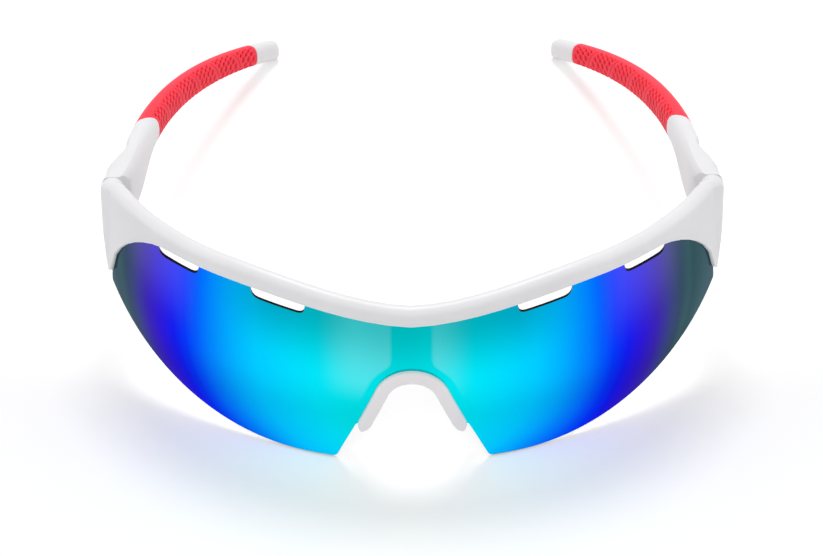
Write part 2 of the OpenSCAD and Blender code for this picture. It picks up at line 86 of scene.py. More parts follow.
# Temples and grips
TEMPLE_X = OUTER_X - HINGE_W / 2
TEMPLE_LEN, TEMPLE_FALL, STRAIGHT_FALL = 116, 33, 11.5
SHOULDER_STEP, SHOULDER_RUN = 3.4, 9.5
EAR_WRAP, WRAP_POWER = 28.5, 2.3
ROD_H, TIP_H, ROD_W, TIP_W = 9.6, 5.7, 5.4, 3.8
SWELL_Y, SWELL_H, SWELL_RUN = 7.5, 1.4, 5
WAIST_Y, WAIST_DEPTH, WAIST_RUN = 17.5, 1.3, 3
NECK_START, NECK_RUN, HEAD_RUN, LEAN_RUN = 10, 24, 8, 20
SEAM_ROUND, ROD_ROUND = 4, 2.6
GRIP_START, GRIP_SKEW, GRIP_END, GRIP_T = 30.5, 6, 105, 1
GRIP_PLAY, GRIP_LIP, GROOVE_DEPTH, RIB_PITCH = 0.04, 0.35, 0.42, 2.6
GRIP_AROUND, GRIP_STEPS, GRIP_INNER_STEPS = 144, 360, 24

# Grip pattern: rows of slanted drops, with a shallow line in place of every fifth row
RING_QUARTER, ROWS = 4.6, 5
ALONG_ROW, NEXT_ROW = np.array([0.85, 1.2]), np.array([1.75, -1.0])
ROW_AREA = ALONG_ROW[1] * NEXT_ROW[0] - ALONG_ROW[0] * NEXT_ROW[1]
DROP_LONG, DROP_WIDE, DROP_TAPER = 0.95, 0.42, 0.14
LINE_DEPTH, LINE_HALF, RIB_DEPTH = 0.45, 0.16, 0.8

# Nose pad
PAD_Z, PAD_FOOT_Z, PAD_ARCH_R, PAD_SPLAY = 26.2, 10.2, 7.3, 22.8
PAD_HALF, PAD_CROWN_HALF, PAD_FRONT, FOOT_FREE = 1.5, 1.6, 1.2, 1.2
PAD_CROWN_DEPTH, PAD_FOOT_DEPTH, PAD_FLARE = 4.6, 7.5, 24
NOTCH_OFF, GROOVE_GAP = 0.5, 0.08
PAD_ARCH_Z = PAD_Z - PAD_ARCH_R
PAD_ARCH_STEPS, PAD_LEG_STEPS = 26, 26


def smooth(t):
    """An eased step from 0 to 1."""
    u = np.clip(t, 0, 1)
    return u * u * (3 - 2 * u)


def blend(a, b, t):
    return a + (b - a) * t


# Pose on the table, from the left hinge's axis
hinge = frame["joints"][0]
TILT = math.atan2(hinge["axis"][1], hinge["axis"][2])
TURN = np.array([
    [1, 0, 0],
    [0, math.cos(TILT), math.sin(TILT)],
    [0, -math.sin(TILT), math.cos(TILT)],
])
SHIFT = np.array(hinge["pos_m"]) / MM - TURN @ np.array([AXIS_X, AXIS_Y, HINGE_MID])


def placed(points):
    """Points as worn, in millimetres, to points of the scene, in metres."""
    return (np.asarray(points, float) @ TURN.T + SHIFT) * MM


def mesh_object(name, points, faces, materials, body, replaces):
    """A modelled piece that rides a body and stands for a packed one."""
    mesh = bpy.data.meshes.new(name)
    mesh.from_pydata([tuple(p) for p in points], [], [tuple(int(i) for i in f) for f in faces])
    mesh.validate()
    shape = bmesh.new()
    shape.from_mesh(mesh)
    bmesh.ops.recalc_face_normals(shape, faces=shape.faces)
    shape.to_mesh(mesh)
    shape.free()
    mesh.polygons.foreach_set("use_smooth", np.ones(len(mesh.polygons), bool))
    obj = bpy.data.objects.new(name, mesh)
    bpy.context.scene.collection.objects.link(obj)
    for material in materials:
        mesh.materials.append(material)
    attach(obj, body)
    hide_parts(replaces)
    return obj


def keep_values(mesh, name, values):
    """An attribute of the mesh's points, which its material reads."""
    mesh.attributes.new(name, "FLOAT", "POINT").data.foreach_set("value", values.astype(np.float32))


def loft(rings, closed_ends=True):
    """Points and faces of a skin through rings that have the same number of points."""
    count, size = len(rings), len(rings[0])
    points = np.concatenate(rings)
    faces = []
    for i in range(count - 1):
        for j in range(size):
            k = (j + 1) % size
            faces.append((i * size + j, i * size + k, (i + 1) * size + k, (i + 1) * size + j))
    if closed_ends:
        faces.append(tuple(range(size - 1, -1, -1)))
        faces.append(tuple((count - 1) * size + j for j in range(size)))
    return points, faces


# Materials
def srgb(red, green, blue):
    """A colour given in 0 to 255, as the shader's linear values."""
    values = [c / 255 for c in (red, green, blue)]
    return tuple(v / 12.92 if v <= 0.04045 else ((v + 0.055) / 1.055) ** 2.4 for v in values) + (1,)


class Shader:
    """A material's node tree with short calls for the nodes used here."""

    def __init__(self, name, **values):
        self.material = bpy.data.materials.new(name)
        self.material.use_nodes = True
        self.tree = self.material.node_tree
        self.bsdf = self.tree.nodes["Principled BSDF"]
        for socket, value in values.items():
            self.bsdf.inputs[socket.replace("_", " ")].default_value = value
        self.coords = self.node("ShaderNodeTexCoord").outputs["Object"]

    def node(self, kind, **settings):
        made = self.tree.nodes.new(kind)
        for key, value in settings.items():
            setattr(made, key, value)
        return made

    def link(self, source, target):
        self.tree.links.new(source, target)

    def value(self, source, target):
        if isinstance(source, bpy.types.NodeSocket):
            self.link(source, target)
        else:
            target.default_value = source

    def math(self, operation, *sources, clamp=False):
        made = self.node("ShaderNodeMath", operation=operation, use_clamp=clamp)
        for source, target in zip(sources, made.inputs):
            self.value(source, target)
        return made.outputs[0]

    def noise(self, scale, detail):
        made = self.node("ShaderNodeTexNoise")
        self.link(self.coords, made.inputs["Vector"])
        made.inputs["Scale"].default_value = scale
        made.inputs["Detail"].default_value = detail
        return made.outputs[0]

    def attribute(self, name):
        """A value that the mesh carries for each of its points."""
        return self.node("ShaderNodeAttribute", attribute_name=name).outputs["Fac"]

    def ramp(self, source, stops):
        made = self.node("ShaderNodeValToRGB")
        self.value(source, made.inputs[0])
        elements = made.color_ramp.elements
        while len(elements) < len(stops):
            elements.new(0.5)
        for element, (place, colour) in zip(elements, stops):
            element.position = place
            element.color = colour
        return made.outputs[0]

    def mix(self, share, first, second):
        made = self.node("ShaderNodeMix", data_type="RGBA")
        self.value(share, made.inputs["Factor"])
        self.value(first, made.inputs[6])
        self.value(second, made.inputs[7])
        return made.outputs[2]

    def paint(self, source):
        self.link(source, self.bsdf.inputs["Base Color"])

    def mottle(self, scale, detail, first, second):
        """A base colour that wanders from one colour to another."""
        self.paint(self.ramp(self.noise(scale, detail), [(0.3, srgb(*first)), (0.7, srgb(*second))]))

    def wear(self, scale, detail, low, high):
        """A roughness that wanders between two values."""
        made = self.node("ShaderNodeMapRange")
        self.link(self.noise(scale, detail), made.inputs["Value"])
        made.inputs["To Min"].default_value = low
        made.inputs["To Max"].default_value = high
        self.link(made.outputs[0], self.bsdf.inputs["Roughness"])

    def grain(self, scale, strength):
        """A fine grain, a tenth of a millimetre deep."""
        made = self.node("ShaderNodeBump")
        made.inputs["Strength"].default_value = strength
        made.inputs["Distance"].default_value = 0.0001
        self.link(self.noise(scale, 2), made.inputs["Height"])
        self.link(made.outputs[0], self.bsdf.inputs["Normal"])


def frame_plastic():
    """White moulded nylon: satin, with faint mottling and a fine moulded grain."""
    s = Shader("frame_plastic", Roughness=0.36, Specular_IOR_Level=0.42)
    s.mottle(60, 3, (231, 230, 232), (235, 234, 236))
    s.wear(900, 2, 0.3, 0.42)
    s.grain(2600, 0.05)
    return s.material


def pad_rubber():
    """Pale grey rubber with a matt bloom."""
    s = Shader("pad_rubber", Roughness=0.55, Specular_IOR_Level=0.35)
    s.mottle(90, 3, (241, 236, 238), (245, 241, 243))
    s.wear(1500, 2, 0.48, 0.62)
    s.grain(3500, 0.12)
    return s.material


def grip_rubber():
    """Coral red rubber with painted shade in its moulded grooves, which the mesh marks with an attribute."""
    s = Shader("grip_rubber", Roughness=0.6, Specular_IOR_Level=0.08)
    unevenness = s.math("MULTIPLY", s.math("SUBTRACT", s.noise(700, 2), 0.5), 0.25)
    # painted shade: darker in the grooves and between the ribs, with a random unevenness of tone on top
    shade = s.math("ADD", s.attribute("groove"), unevenness, clamp=True)
    s.paint(s.ramp(shade, [(0.0, srgb(255, 64, 82)), (0.4, srgb(250, 44, 62)), (1.0, srgb(222, 22, 42))]))
    s.wear(1400, 2, 0.42, 0.58)
    s.grain(3000, 0.15)
    return s.material


def plain_metal(name, colour, roughness, scale):
    """Turned metal, a little uneven in its polish."""
    s = Shader(name, Metallic=1.0, Base_Color=colour)
    s.wear(scale, 3, roughness - 0.08, roughness + 0.08)
    s.grain(scale * 2, 0.1)
    return s.material


def lens_edge():
    """The dark body of the lens, which shows at its cut edges."""
    s = Shader("lens_edge", Roughness=0.3, Specular_IOR_Level=0.05)
    s.mottle(400, 2, (6, 6, 8), (10, 10, 12))
    return s.material


def lens_inner():
    """The inner face of the lens: dark, smooth and clear of the mirror coating."""
    s = Shader("lens_inner", Specular_IOR_Level=0.5)
    s.mottle(60, 2, (24, 24, 29), (29, 29, 34))
    s.wear(300, 2, 0.12, 0.18)
    return s.material


def lens_mirror():
    """Mirror coating: the mesh carries its sweep of colour, its painted shade under the brow and its painted
    highlights.
    """
    s = Shader("lens_mirror", Metallic=1.0, Specular_Tint=(0.55, 0.55, 0.6, 1.0))
    coating = s.ramp(s.attribute("sweep"), [
        (0.0, srgb(0, 222, 226)),
        (0.15, srgb(0, 231, 238)),
        (0.21, srgb(0, 230, 247)),
        (0.28, srgb(0, 222, 252)),
        (0.376, srgb(0, 207, 255)),
        (0.44, srgb(0, 183, 255)),
        (0.505, srgb(0, 145, 255)),
        (0.57, srgb(0, 93, 255)),
        (0.61, srgb(0, 56, 253)),
        (0.655, srgb(16, 27, 245)),
        (0.71, srgb(46, 22, 221)),
        (0.765, srgb(60, 36, 181)),
        (0.83, srgb(60, 72, 126)),
        (0.865, srgb(54, 78, 102)),
        (0.9, srgb(57, 94, 98)),
        (0.925, srgb(51, 86, 90)),
        (1.0, srgb(62, 98, 104)),
    ])
    # painted shade darkens the coating under the brow, and the painted highlight mixes white into it
    shaded = s.mix(s.attribute("shade"), (0, 0, 0, 1), coating)
    s.paint(s.mix(s.attribute("painted_highlight"), shaded, (1, 1, 1, 1)))
    s.wear(300, 2, 0.1, 0.14)
    return s.material


WHITE = frame_plastic()
PAD = pad_rubber()
CORAL = grip_rubber()
STEEL = plain_metal("screw_steel", srgb(180, 182, 186), 0.3, 1200)
BRASS = plain_metal("hinge_brass", srgb(205, 168, 96), 0.32, 1200)
EDGE = lens_edge()
INNER = lens_inner()
MIRROR = lens_mirror()


# Hard pieces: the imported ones, welded and shaded smooth up to an angle
def easing_group(name, angle):
    """Geometry nodes that weld a mesh and shade it smooth where its faces meet at less than an angle."""
    group = bpy.data.node_groups.new(name, "GeometryNodeTree")
    group.interface.new_socket("Geometry", in_out="INPUT", socket_type="NodeSocketGeometry")
    group.interface.new_socket("Geometry", in_out="OUTPUT", socket_type="NodeSocketGeometry")
    nodes, links = group.nodes, group.links
    start, end = nodes.new("NodeGroupInput"), nodes.new("NodeGroupOutput")
    weld = nodes.new("GeometryNodeMergeByDistance")
    weld.inputs["Distance"].default_value = 2e-6
    strip = nodes.new("GeometryNodeRemoveAttribute")
    strip.inputs["Name"].default_value = "custom_normal"
    faces = nodes.new("GeometryNodeSetShadeSmooth")
    edges = nodes.new("GeometryNodeSetShadeSmooth")
    edges.domain = "EDGE"
    turn = nodes.new("GeometryNodeInputMeshEdgeAngle")
    sharp = nodes.new("FunctionNodeCompare")
    sharp.operation = "GREATER_THAN"
    sharp.inputs[1].default_value = math.radians(angle)
    edges.inputs["Shade Smooth"].default_value = False
    links.new(start.outputs[0], strip.inputs["Geometry"])
    links.new(strip.outputs["Geometry"], weld.inputs["Geometry"])
    links.new(weld.outputs["Geometry"], faces.inputs["Geometry"])
    links.new(faces.outputs["Geometry"], edges.inputs["Geometry"])
    links.new(turn.outputs["Unsigned Angle"], sharp.inputs[0])
    links.new(sharp.outputs[0], edges.inputs["Selection"])
    links.new(edges.outputs["Geometry"], end.inputs[0])
    return group


EASING = easing_group("shade_by_angle", 32)


def ease(obj):
    obj.modifiers.new("ease", "NODES").node_group = EASING


def dress(node, material):
    obj = frame["nodes"][node]
    obj.data.materials.clear()
    obj.data.materials.append(material)
    ease(obj)


dress("front_frame", WHITE)
for side in SIDES:
    dress("temple_" + side, WHITE)
    dress("hinge_screw_" + side, STEEL)
    dress("hinge_insert_" + side, BRASS)
    dress("hinge_bush_" + side, BRASS)


# Lens: z is a height and a an angle in degrees from the middle
def lens_lean(z):
    """How far the lens's upright curve takes its face back at a height."""
    return np.sqrt(BOW_R ** 2 - (z - BOW_Z) ** 2) - BOW_R


def face_y(x, z, off=0.0):
    """Y of the lens's front face, or of a face off millimetres outside it."""
    return LENS_R - np.sqrt((LENS_R + lens_lean(z) + off) ** 2 - x * x)


def brow_line(a):
    """Height of the frame's lower edge over the lens."""
    return BROW_Z + BROW_RISE * np.sin(np.radians(90 * np.minimum(1, a / BROW_RISE_A))) ** 1.5


def quarter(t, power):
    """A quarter of a superellipse, from 1 down to 0."""
    return (1 - np.clip(t, 0, 1) ** power) ** (1 / power)


def lens_top(a):
    end_high = RIM_TIP_Z - 2
    turned = quarter((a - CORNER_A) / (LENS_REACH - CORNER_A), RIM_POWER + 0.3)
    return np.where(a < CORNER_A, brow_line(a) + LENS_LAP, blend(end_high, BROW_LIP_Z + LENS_LAP, turned))


def lens_bottom(a):
    return LENS_END_LOW * (np.maximum(0, a - LOBE_A) / (LENS_REACH - LOBE_A)) ** 2


def outline_points(a, z):
    return np.stack([(LENS_R + lens_lean(z)) * np.sin(np.radians(a)), z], 1)


def pad_leg(off, z):
    """Point of a line beside the pad's leg, off millimetres outside its middle."""
    splay = math.radians(PAD_SPLAY)
    run = (PAD_ARCH_Z + (PAD_ARCH_R + off) * math.sin(splay) - z) / math.cos(splay)
    return np.array([(PAD_ARCH_R + off) * math.cos(splay) + run * math.sin(splay), z])


def pad_arch(off, t):
    """Point of a curve over the pad's arch, off millimetres outside its middle."""
    r = PAD_ARCH_R + off
    return np.array([r * math.cos(math.radians(t)), PAD_ARCH_Z + r * math.sin(math.radians(t))])


def bezier(p, q, r, t):
    return (1 - t) ** 2 * p + 2 * t * (1 - t) * q + t * t * r


def half_outline():
    """The lens's outline from the nose notch round to the top of its middle."""
    lobe_off = PAD_HALF + 0.1
    corner = pad_leg(lobe_off, 0)
    lobe_in, lobe_out = pad_leg(lobe_off, LOBE_ROUND), corner + [LOBE_ROUND, 0]
    lower_start = math.degrees(math.asin((lobe_out[0] + 0.3) / (LENS_R + lens_lean(0))))
    notch = [pad_arch(NOTCH_OFF, t) for t in np.linspace(90, PAD_SPLAY + 2, 22)]
    free_z = PAD_FOOT_Z + FOOT_FREE
    legs = [pad_leg(NOTCH_OFF, free_z + 1), pad_leg(lobe_off, free_z)]
    lobe = [bezier(lobe_in, corner, lobe_out, t) for t in np.linspace(0, 1, 7)]
    low = np.linspace(lower_start, LENS_REACH, 70)
    side_z = np.linspace(lens_bottom(LENS_REACH), lens_top(LENS_REACH), 4)[1:-1]
    high = np.linspace(LENS_REACH, CORNER_A, 40)
    over = np.linspace(CORNER_A, 0, 80)[1:]
    return np.concatenate([
        notch, legs, lobe,
        outline_points(low, lens_bottom(low)),
        outline_points(np.full(len(side_z), LENS_REACH), side_z),
        outline_points(high, lens_top(high)),
        outline_points(over, lens_top(over)),
    ])


def vent_points(a0, a1):
    """Outline of a vent between two angles, open at its top."""
    z0, z1 = brow_line(a0) - VENT_DEPTH, brow_line(a1) - VENT_DEPTH
    p0, p1 = outline_points(np.array([a0, a1]), np.array([z0, z1]))
    top = lens_top(np.array([a0, a1])) + 0.2
    corner = VENT_CORNER * (p1 - p0) / np.linalg.norm(p1 - p0)
    up = np.array([0, VENT_CORNER])
    steps = np.linspace(0, 1, 7)
    return np.concatenate([
        [[p0[0], top[0]]],
        [bezier(p0 + up, p0, p0 + corner, t) for t in steps],
        [blend(p0 + corner, p1 - corner, t) for t in np.linspace(0, 1, 12)[1:-1]],
        [bezier(p1 - corner, p1, p1 + up, t) for t in steps],
        [[p1[0], top[1]]],
    ])


def with_vents(outline):
    """The upper edge dips down round each vent."""
    points = list(outline)
    for a0, a1 in VENTS:
        vent = vent_points(a0, a1)
        x0, x1 = vent[0][0], vent[-1][0]
        top = [i for i, p in enumerate(points) if x0 <= p[0] <= x1 and p[1] > BROW_Z - 1]
        points[top[0]:top[-1] + 1] = [[x, z] for x, z in vent[1:-1][::-1]]
    return np.array(points)


def inside(points, outline):
    """Which points lie inside a closed outline."""
    x, z = points[:, 0], points[:, 1]
    hit = np.zeros(len(points), bool)
    for (x0, z0), (x1, z1) in zip(outline, np.roll(outline, -1, 0)):
        crosses = (z0 > z) != (z1 > z)
        with np.errstate(divide="ignore", invalid="ignore"):
            at = (x1 - x0) * (z - z0) / (z1 - z0) + x0
        hit ^= crosses & (x < at)
    return hit


def from_arch(x, z):
    """Distance of lens points outside the nose pad's outer edge, less than 0 inside it."""
    splay = math.radians(PAD_SPLAY)
    x = np.abs(x)
    radius = np.hypot(x, z - PAD_ARCH_Z) - PAD_ARCH_R
    leg = (x - PAD_ARCH_R * math.cos(splay)) * math.cos(splay)
    leg = leg + (z - PAD_ARCH_Z - PAD_ARCH_R * math.sin(splay)) * math.sin(splay)
    over = z - PAD_ARCH_Z > x * math.tan(splay)
    return np.where(over, radius, leg) - PAD_HALF


def coating_values(x, z):
    """Sweep, painted shade and painted highlight of the mirror coating at lens points."""
    angle = np.degrees(np.arctan2(x, LENS_R - face_y(x, z)))
    turn = np.abs(angle + COATING_LEAN)
    top, bottom = brow_line(np.abs(angle)), lens_bottom(np.abs(angle))
    # from 0 at the brow to 1 at the lower edge
    low = np.clip((top - z) / (top - bottom), 0, 1)
    # the sweep of colour runs ahead along the lower edge
    sink = 46 * np.maximum(0, low - 0.55) ** 2
    sink = sink * (1 - 0.42 * smooth((turn - 20) / 16)) * (1 - 0.5 * smooth((turn - 38) / 10))
    sweep = (turn + sink) / LENS_REACH
    # painted shade: the coating is darker under the brow bar, and faintly darker over the upper half
    under_brow = blend(0.34, 0.44, smooth((turn - 5) / 6)) * (1 - smooth((turn - 19) / 15))
    shade = (1 - under_brow * (1 - smooth(low / 0.42))) * blend(0.96, 1, smooth((low - 0.4) / 0.25))
    # a plain strip runs down the middle and round the pad's arch, with a pale painted highlight at both its
    # sides
    strip = np.logaddexp(
        (STRIP_HALF - np.abs(x)) / STRIP_FILLET,
        (STRIP_FLARE - from_arch(x, z)) / STRIP_FILLET,
    )
    glow = (1 - smooth((turn - 6) / 7)) * (1 - smooth((low - 0.38) / 0.2)) * blend(0.5, 1, smooth(low / 0.3))
    # a faint painted highlight lies over the violet zones
    side_highlight = smooth((turn - 34) / 7) * (1 - smooth((turn - 48) / 8)) * (1 - smooth(low / 0.6))
    # painted highlight: white mixed into the coating beside the strip and over the violet zones
    painted_highlight = 0.075 * glow * smooth(0.5 - strip * STRIP_FILLET / STRIP_SOFT) + 0.055 * side_highlight
    return sweep, shade, painted_highlight


def lens_grid(pitch, half_width, z0, z1):
    xs, zs = np.meshgrid(np.arange(-half_width, half_width, pitch), np.arange(z0, z1, pitch))
    return np.stack([xs.ravel(), zs.ravel()], 1)


def lens_sheet(outline):
    """Flat points of the lens, its outline's first, and the triangles between them."""
    coarse = lens_grid(PITCH, GRID_HALF, GRID_LOW, GRID_HIGH)
    coarse = coarse[(np.abs(coarse[:, 0]) > FINE_HALF) | (coarse[:, 1] < FINE_LOW)]
    near = lens_grid(FINE_PITCH, FINE_HALF, FINE_LOW, FINE_HIGH)
    parts = [outline]
    for spots, spacing in ((coarse, PITCH), (near, FINE_PITCH)):
        gap = np.sqrt(((spots[:, None] - outline[None]) ** 2).sum(2)).min(1)
        parts.append(spots[(gap > 0.5 * spacing) & inside(spots, outline)])
    rim = len(outline)
    loop = [(i, (i + 1) % rim) for i in range(rim)]
    points = [Vector(p) for p in np.concatenate(parts)]
    verts, _, tris, *_ = geometry.delaunay_2d_cdt(points, loop, [], 1, 1e-6)
    return np.array([tuple(v) for v in verts]), tris


def open_edges(tris):
    """Edges that a single triangle uses."""
    uses = {}
    for t in tris:
        for a, b in zip(t, list(t[1:]) + [t[0]]):
            uses.setdefault(frozenset((a, b)), []).append((a, b))
    return [use[0] for use in uses.values() if len(use) == 1]


def shield_lens():
    half = with_vents(half_outline())
    mirrored = half[::-1] * [-1, 1]
    outline = np.concatenate([half[1:-1], mirrored])
    flat, tris = lens_sheet(outline)
    x, z = flat[:, 0], flat[:, 1]
    # the rim's rear edge is eased, which leaves a thinner cut edge
    thick = np.where(np.arange(len(flat)) < len(outline), EDGE_T, LENS_T)
    reach = math.sin(math.radians(LENS_REACH)) * (LENS_R + lens_lean(z) - thick)
    back_x = np.clip(x, -reach, reach)
    front = np.stack([x, face_y(x, z), z], 1)
    back = np.stack([back_x, face_y(back_x, z, -thick), z], 1)
    count, edges = len(flat), open_edges(tris)
    faces = [tuple(t) for t in tris] + [tuple(i + count for i in t[::-1]) for t in tris]
    faces += [(a, b, b + count, a + count) for a, b in edges]
    # the front takes the first material, the cut edge the second and the back the third
    kinds = [0] * len(tris) + [2] * len(tris) + [1] * len(edges)
    obj = mesh_object("shield_lens_mirror", placed(np.concatenate([front, back])), faces,
                      [MIRROR, EDGE, INNER], "front", "shield_lens")
    obj.data.polygons.foreach_set("material_index", kinds)
    # the mesh carries the coating's sweep of colour, its painted shade and its painted highlight
    for name, values in zip(("sweep", "shade", "painted_highlight"), coating_values(x, z)):
        keep_values(obj.data, name, np.tile(values, 2))
    ease(obj)


# Temple surface, by distance behind the seam and angle round the ring
def temple_line(s):
    """X of the temple's middle."""
    shoulder = SHOULDER_STEP * (1 - np.exp(-s / SHOULDER_RUN))
    return TEMPLE_X - shoulder - EAR_WRAP * (s / TEMPLE_LEN) ** WRAP_POWER


def temple_top(s):
    """Z of the temple's upper side."""
    u = s / TEMPLE_LEN
    return HINGE_TOP - STRAIGHT_FALL * u - (TEMPLE_FALL - STRAIGHT_FALL) * u * u


def temple_height(s):
    neck = (HINGE_H - ROD_H) * (1 - smooth((s - NECK_START) / NECK_RUN))
    return blend(ROD_H, TIP_H, s / TEMPLE_LEN) + neck


def temple_half_w(s):
    front = blend(HINGE_W, ROD_W, smooth(s / GRIP_START)) / 2
    rear = blend(ROD_W, TIP_W, (s - GRIP_START) / (TEMPLE_LEN - GRIP_START)) / 2
    return np.where(s < GRIP_START, front, rear)


def outer_swell(s):
    """How far the outer side bulges near the seam and draws in behind it."""
    swell = SWELL_H * np.exp(-((s - SWELL_Y) / SWELL_RUN) ** 2)
    return swell - WAIST_DEPTH * np.exp(-((s - WAIST_Y) / WAIST_RUN) ** 2)


def power_of(value, n):
    """A cosine or sine bent to a superellipse of power n."""
    return np.sign(value) * np.abs(value) ** (2 / n)


def temple_points(s, t, thin):
    """Surface points for arrays of distance s and ring angle t in degrees, thin millimetres under it."""
    n = blend(SEAM_ROUND, ROD_ROUND, smooth(s / GRIP_START))
    ahead = temple_line(s + 0.1) - temple_line(np.maximum(0, s - 0.1))
    head = blend(90, np.degrees(np.arctan2(0.2, ahead)), smooth(s / HEAD_RUN))
    cos, sin = np.cos(np.radians(t)), np.sin(np.radians(t))
    z = temple_top(s) - temple_height(s) / 2 + power_of(sin, n) * (temple_height(s) / 2 - thin)
    lean = CORNER_LEAN * lens_lean(z) * (1 - smooth(s / LEAN_RUN))
    out = power_of(cos, n) * (temple_half_w(s) - thin) + outer_swell(s) * np.maximum(0, cos) + lean
    turn = np.radians(head)
    return np.stack([temple_line(s) + out * np.sin(turn), SEAM_Y + s - out * np.cos(turn), z], -1)


def grip_front(t):
    """Distance at which the grip starts, further back on the inner side."""
    return GRIP_START + GRIP_SKEW * (1 - np.cos(np.radians(t))) / 2


def grip_run(t, u):
    """Distance of a grip's ring at share u of its length."""
    return blend(grip_front(t) + GRIP_PLAY, GRIP_END - GRIP_PLAY, u)


def ring_angles(count, n):
    """Ring angles that lie evenly along a superellipse of the grip's size."""
    fine = np.linspace(0, 360, 4001)
    x = power_of(np.cos(np.radians(fine)), n) * 2.3
    z = power_of(np.sin(np.radians(fine)), n) * 3.8
    run = np.concatenate([[0], np.cumsum(np.hypot(np.diff(x), np.diff(z)))])
    return np.interp(np.linspace(0, run[-1], count, endpoint=False), run, fine)


def groove_depth(s, t):
    """Depth from 0 to 1 of the moulded grooves, at distance s and ring angle t."""
    v = (t - 180) / 90 * RING_QUARTER
    across_rows = (s * ALONG_ROW[1] - v * ALONG_ROW[0]) / ROW_AREA
    row = np.round(across_rows)
    place = np.round((v - row * NEXT_ROW[1]) / ALONG_ROW[1])
    ds = s - place * ALONG_ROW[0] - row * NEXT_ROW[0]
    dv = v - place * ALONG_ROW[1] - row * NEXT_ROW[1]
    along, across = (dv - ds) * math.sqrt(0.5), (dv + ds) * math.sqrt(0.5)
    drop = 1 - (along / DROP_LONG) ** 2 - (across / (DROP_WIDE + DROP_TAPER * along)) ** 2
    drop = smooth(np.clip(drop, 0, 1) * 1.5)
    line = LINE_DEPTH * smooth(1 - np.abs(across_rows - row) / LINE_HALF)
    pattern = np.where(row % ROWS == ROWS - 1, line, drop)
    # the pattern lies on the inner side and the ribs lie on the lower side
    inner = smooth((t - 104) / 14) * smooth((250 - t) / 24)
    rib = 0.5 - 0.5 * np.cos(2 * np.pi * (s - GRIP_START) / RIB_PITCH)
    under = smooth((t - 206) / 24) * smooth((310 - t) / 24)
    ends = smooth((s - grip_front(t) - 0.8) / 1.2) * smooth((GRIP_END - 1 - s) / 1)
    return np.clip(pattern * inner + RIB_DEPTH * smooth(rib * 1.2 - 0.3) * under, 0, 1) * ends


def temple_grip(side):
    around = ring_angles(GRIP_AROUND, ROD_ROUND)
    rings = []
    grooves = []
    for i in range(GRIP_STEPS + 1):
        s = grip_run(around, i / GRIP_STEPS)
        rise = groove_depth(s, around)
        from_end = np.minimum(s - grip_front(around), GRIP_END - s)
        lip = 1 - np.clip(from_end / GRIP_LIP, 0, 1)
        round_off = GRIP_LIP * (1 - np.sqrt(np.clip(1 - lip ** 2, 0, 1)))
        rings.append(temple_points(s, around, GROOVE_DEPTH * rise + round_off))
        grooves.append(rise)
    for u in np.linspace(1, 0, GRIP_INNER_STEPS):
        rings.append(temple_points(grip_run(around, u), around, GRIP_T - GRIP_PLAY))
        grooves.append(np.zeros(len(around)))
    points, faces = loft(rings, closed_ends=False)
    size, last = len(around), len(rings) - 1
    for j in range(size):
        k = (j + 1) % size
        faces.append((last * size + j, last * size + k, k, j))
    points = points * [SIDES[side], 1, 1]
    obj = mesh_object("temple_grip_rubber_" + side, placed(points), faces, [CORAL], side + "_temple",
                      "temple_grip_" + side)
    # the grooves' depth, which the grip's material turns into painted shade
    keep_values(obj.data, "groove", np.concatenate(grooves))


# Nose pad
def pad_station(i):
    """Centre, outward direction and share of the leg, at a step along half of the pad."""
    if i <= PAD_ARCH_STEPS:
        t = blend(90, PAD_SPLAY, i / PAD_ARCH_STEPS)
        return pad_arch(0, t), np.array([math.cos(math.radians(t)), math.sin(math.radians(t))]), 0
    u = (i - PAD_ARCH_STEPS) / PAD_LEG_STEPS
    splay = math.radians(PAD_SPLAY)
    top = PAD_ARCH_Z + PAD_ARCH_R * math.sin(splay)
    return pad_leg(0, blend(top, PAD_FOOT_Z, u)), np.array([math.cos(splay), math.sin(splay)]), u


def pad_section(i):
    """Ring of points round the pad: its front, the groove for the lens and the skirt behind it."""
    q, outward, u = pad_station(i)
    share = i / (PAD_ARCH_STEPS + PAD_LEG_STEPS)
    foot = math.sqrt(max(0.02, 1 - max(0, (u - 0.8) / 0.205) ** 2))
    out = blend(PAD_CROWN_HALF, PAD_HALF, smooth(share * 1.6)) * foot
    depth = blend(PAD_CROWN_DEPTH, PAD_FOOT_DEPTH, smooth(share)) * blend(0.8, 1, foot)
    lean = math.tan(math.radians(PAD_FLARE)) * smooth(share * 1.4)
    flare = lean * depth
    groove = min(out - 0.05, NOTCH_OFF - GROOVE_GAP)
    back, rear = LENS_T + GROOVE_GAP, LENS_T + depth
    r = min(0.62, out * 0.6)
    nose = [(r * math.sin(t), r * math.cos(t)) for t in np.linspace(0, math.pi / 2, 6)]
    shape = [(out - r + a, -PAD_FRONT + r - b) for a, b in nose]
    shape += [(out, -GROOVE_GAP), (groove, -GROOVE_GAP), (groove, back), (out, back)]
    shape += [(out + lean * 1.2, back + 1.2), (out * 0.8 + flare, rear - 2 * r)]
    shape += [(out * 0.8 - 0.3 * r + flare, rear - 0.6 * r), (out * 0.8 - r + flare, rear)]
    shape += [(-out * 0.6 + r + flare, rear), (-out * 0.7 + 0.3 * r + flare, rear - 0.4 * r)]
    shape += [(-out * 0.7 + flare, rear - r), (-out + lean * 1.2, back + 1.2), (-out, 0)]
    shape += [(-(out - r + a), -PAD_FRONT + r - b) for a, b in nose[::-1]]
    points = []
    for a, b in shape:
        x, z = q + a * outward
        y = face_y(x, z) + b if b < LENS_T / 2 else face_y(x, z, -LENS_T) + b - LENS_T
        points.append((x, y, z))
    return np.array(points)


def nose_pad():
    half = [pad_section(i) for i in range(PAD_ARCH_STEPS + PAD_LEG_STEPS + 1)]
    rings = [h * [-1, 1, 1] for h in half[:0:-1]] + half
    points, faces = loft(rings)
    obj = mesh_object("nose_pad_rubber", placed(points), faces, [PAD], "front", "nose_pad")
    ease(obj)


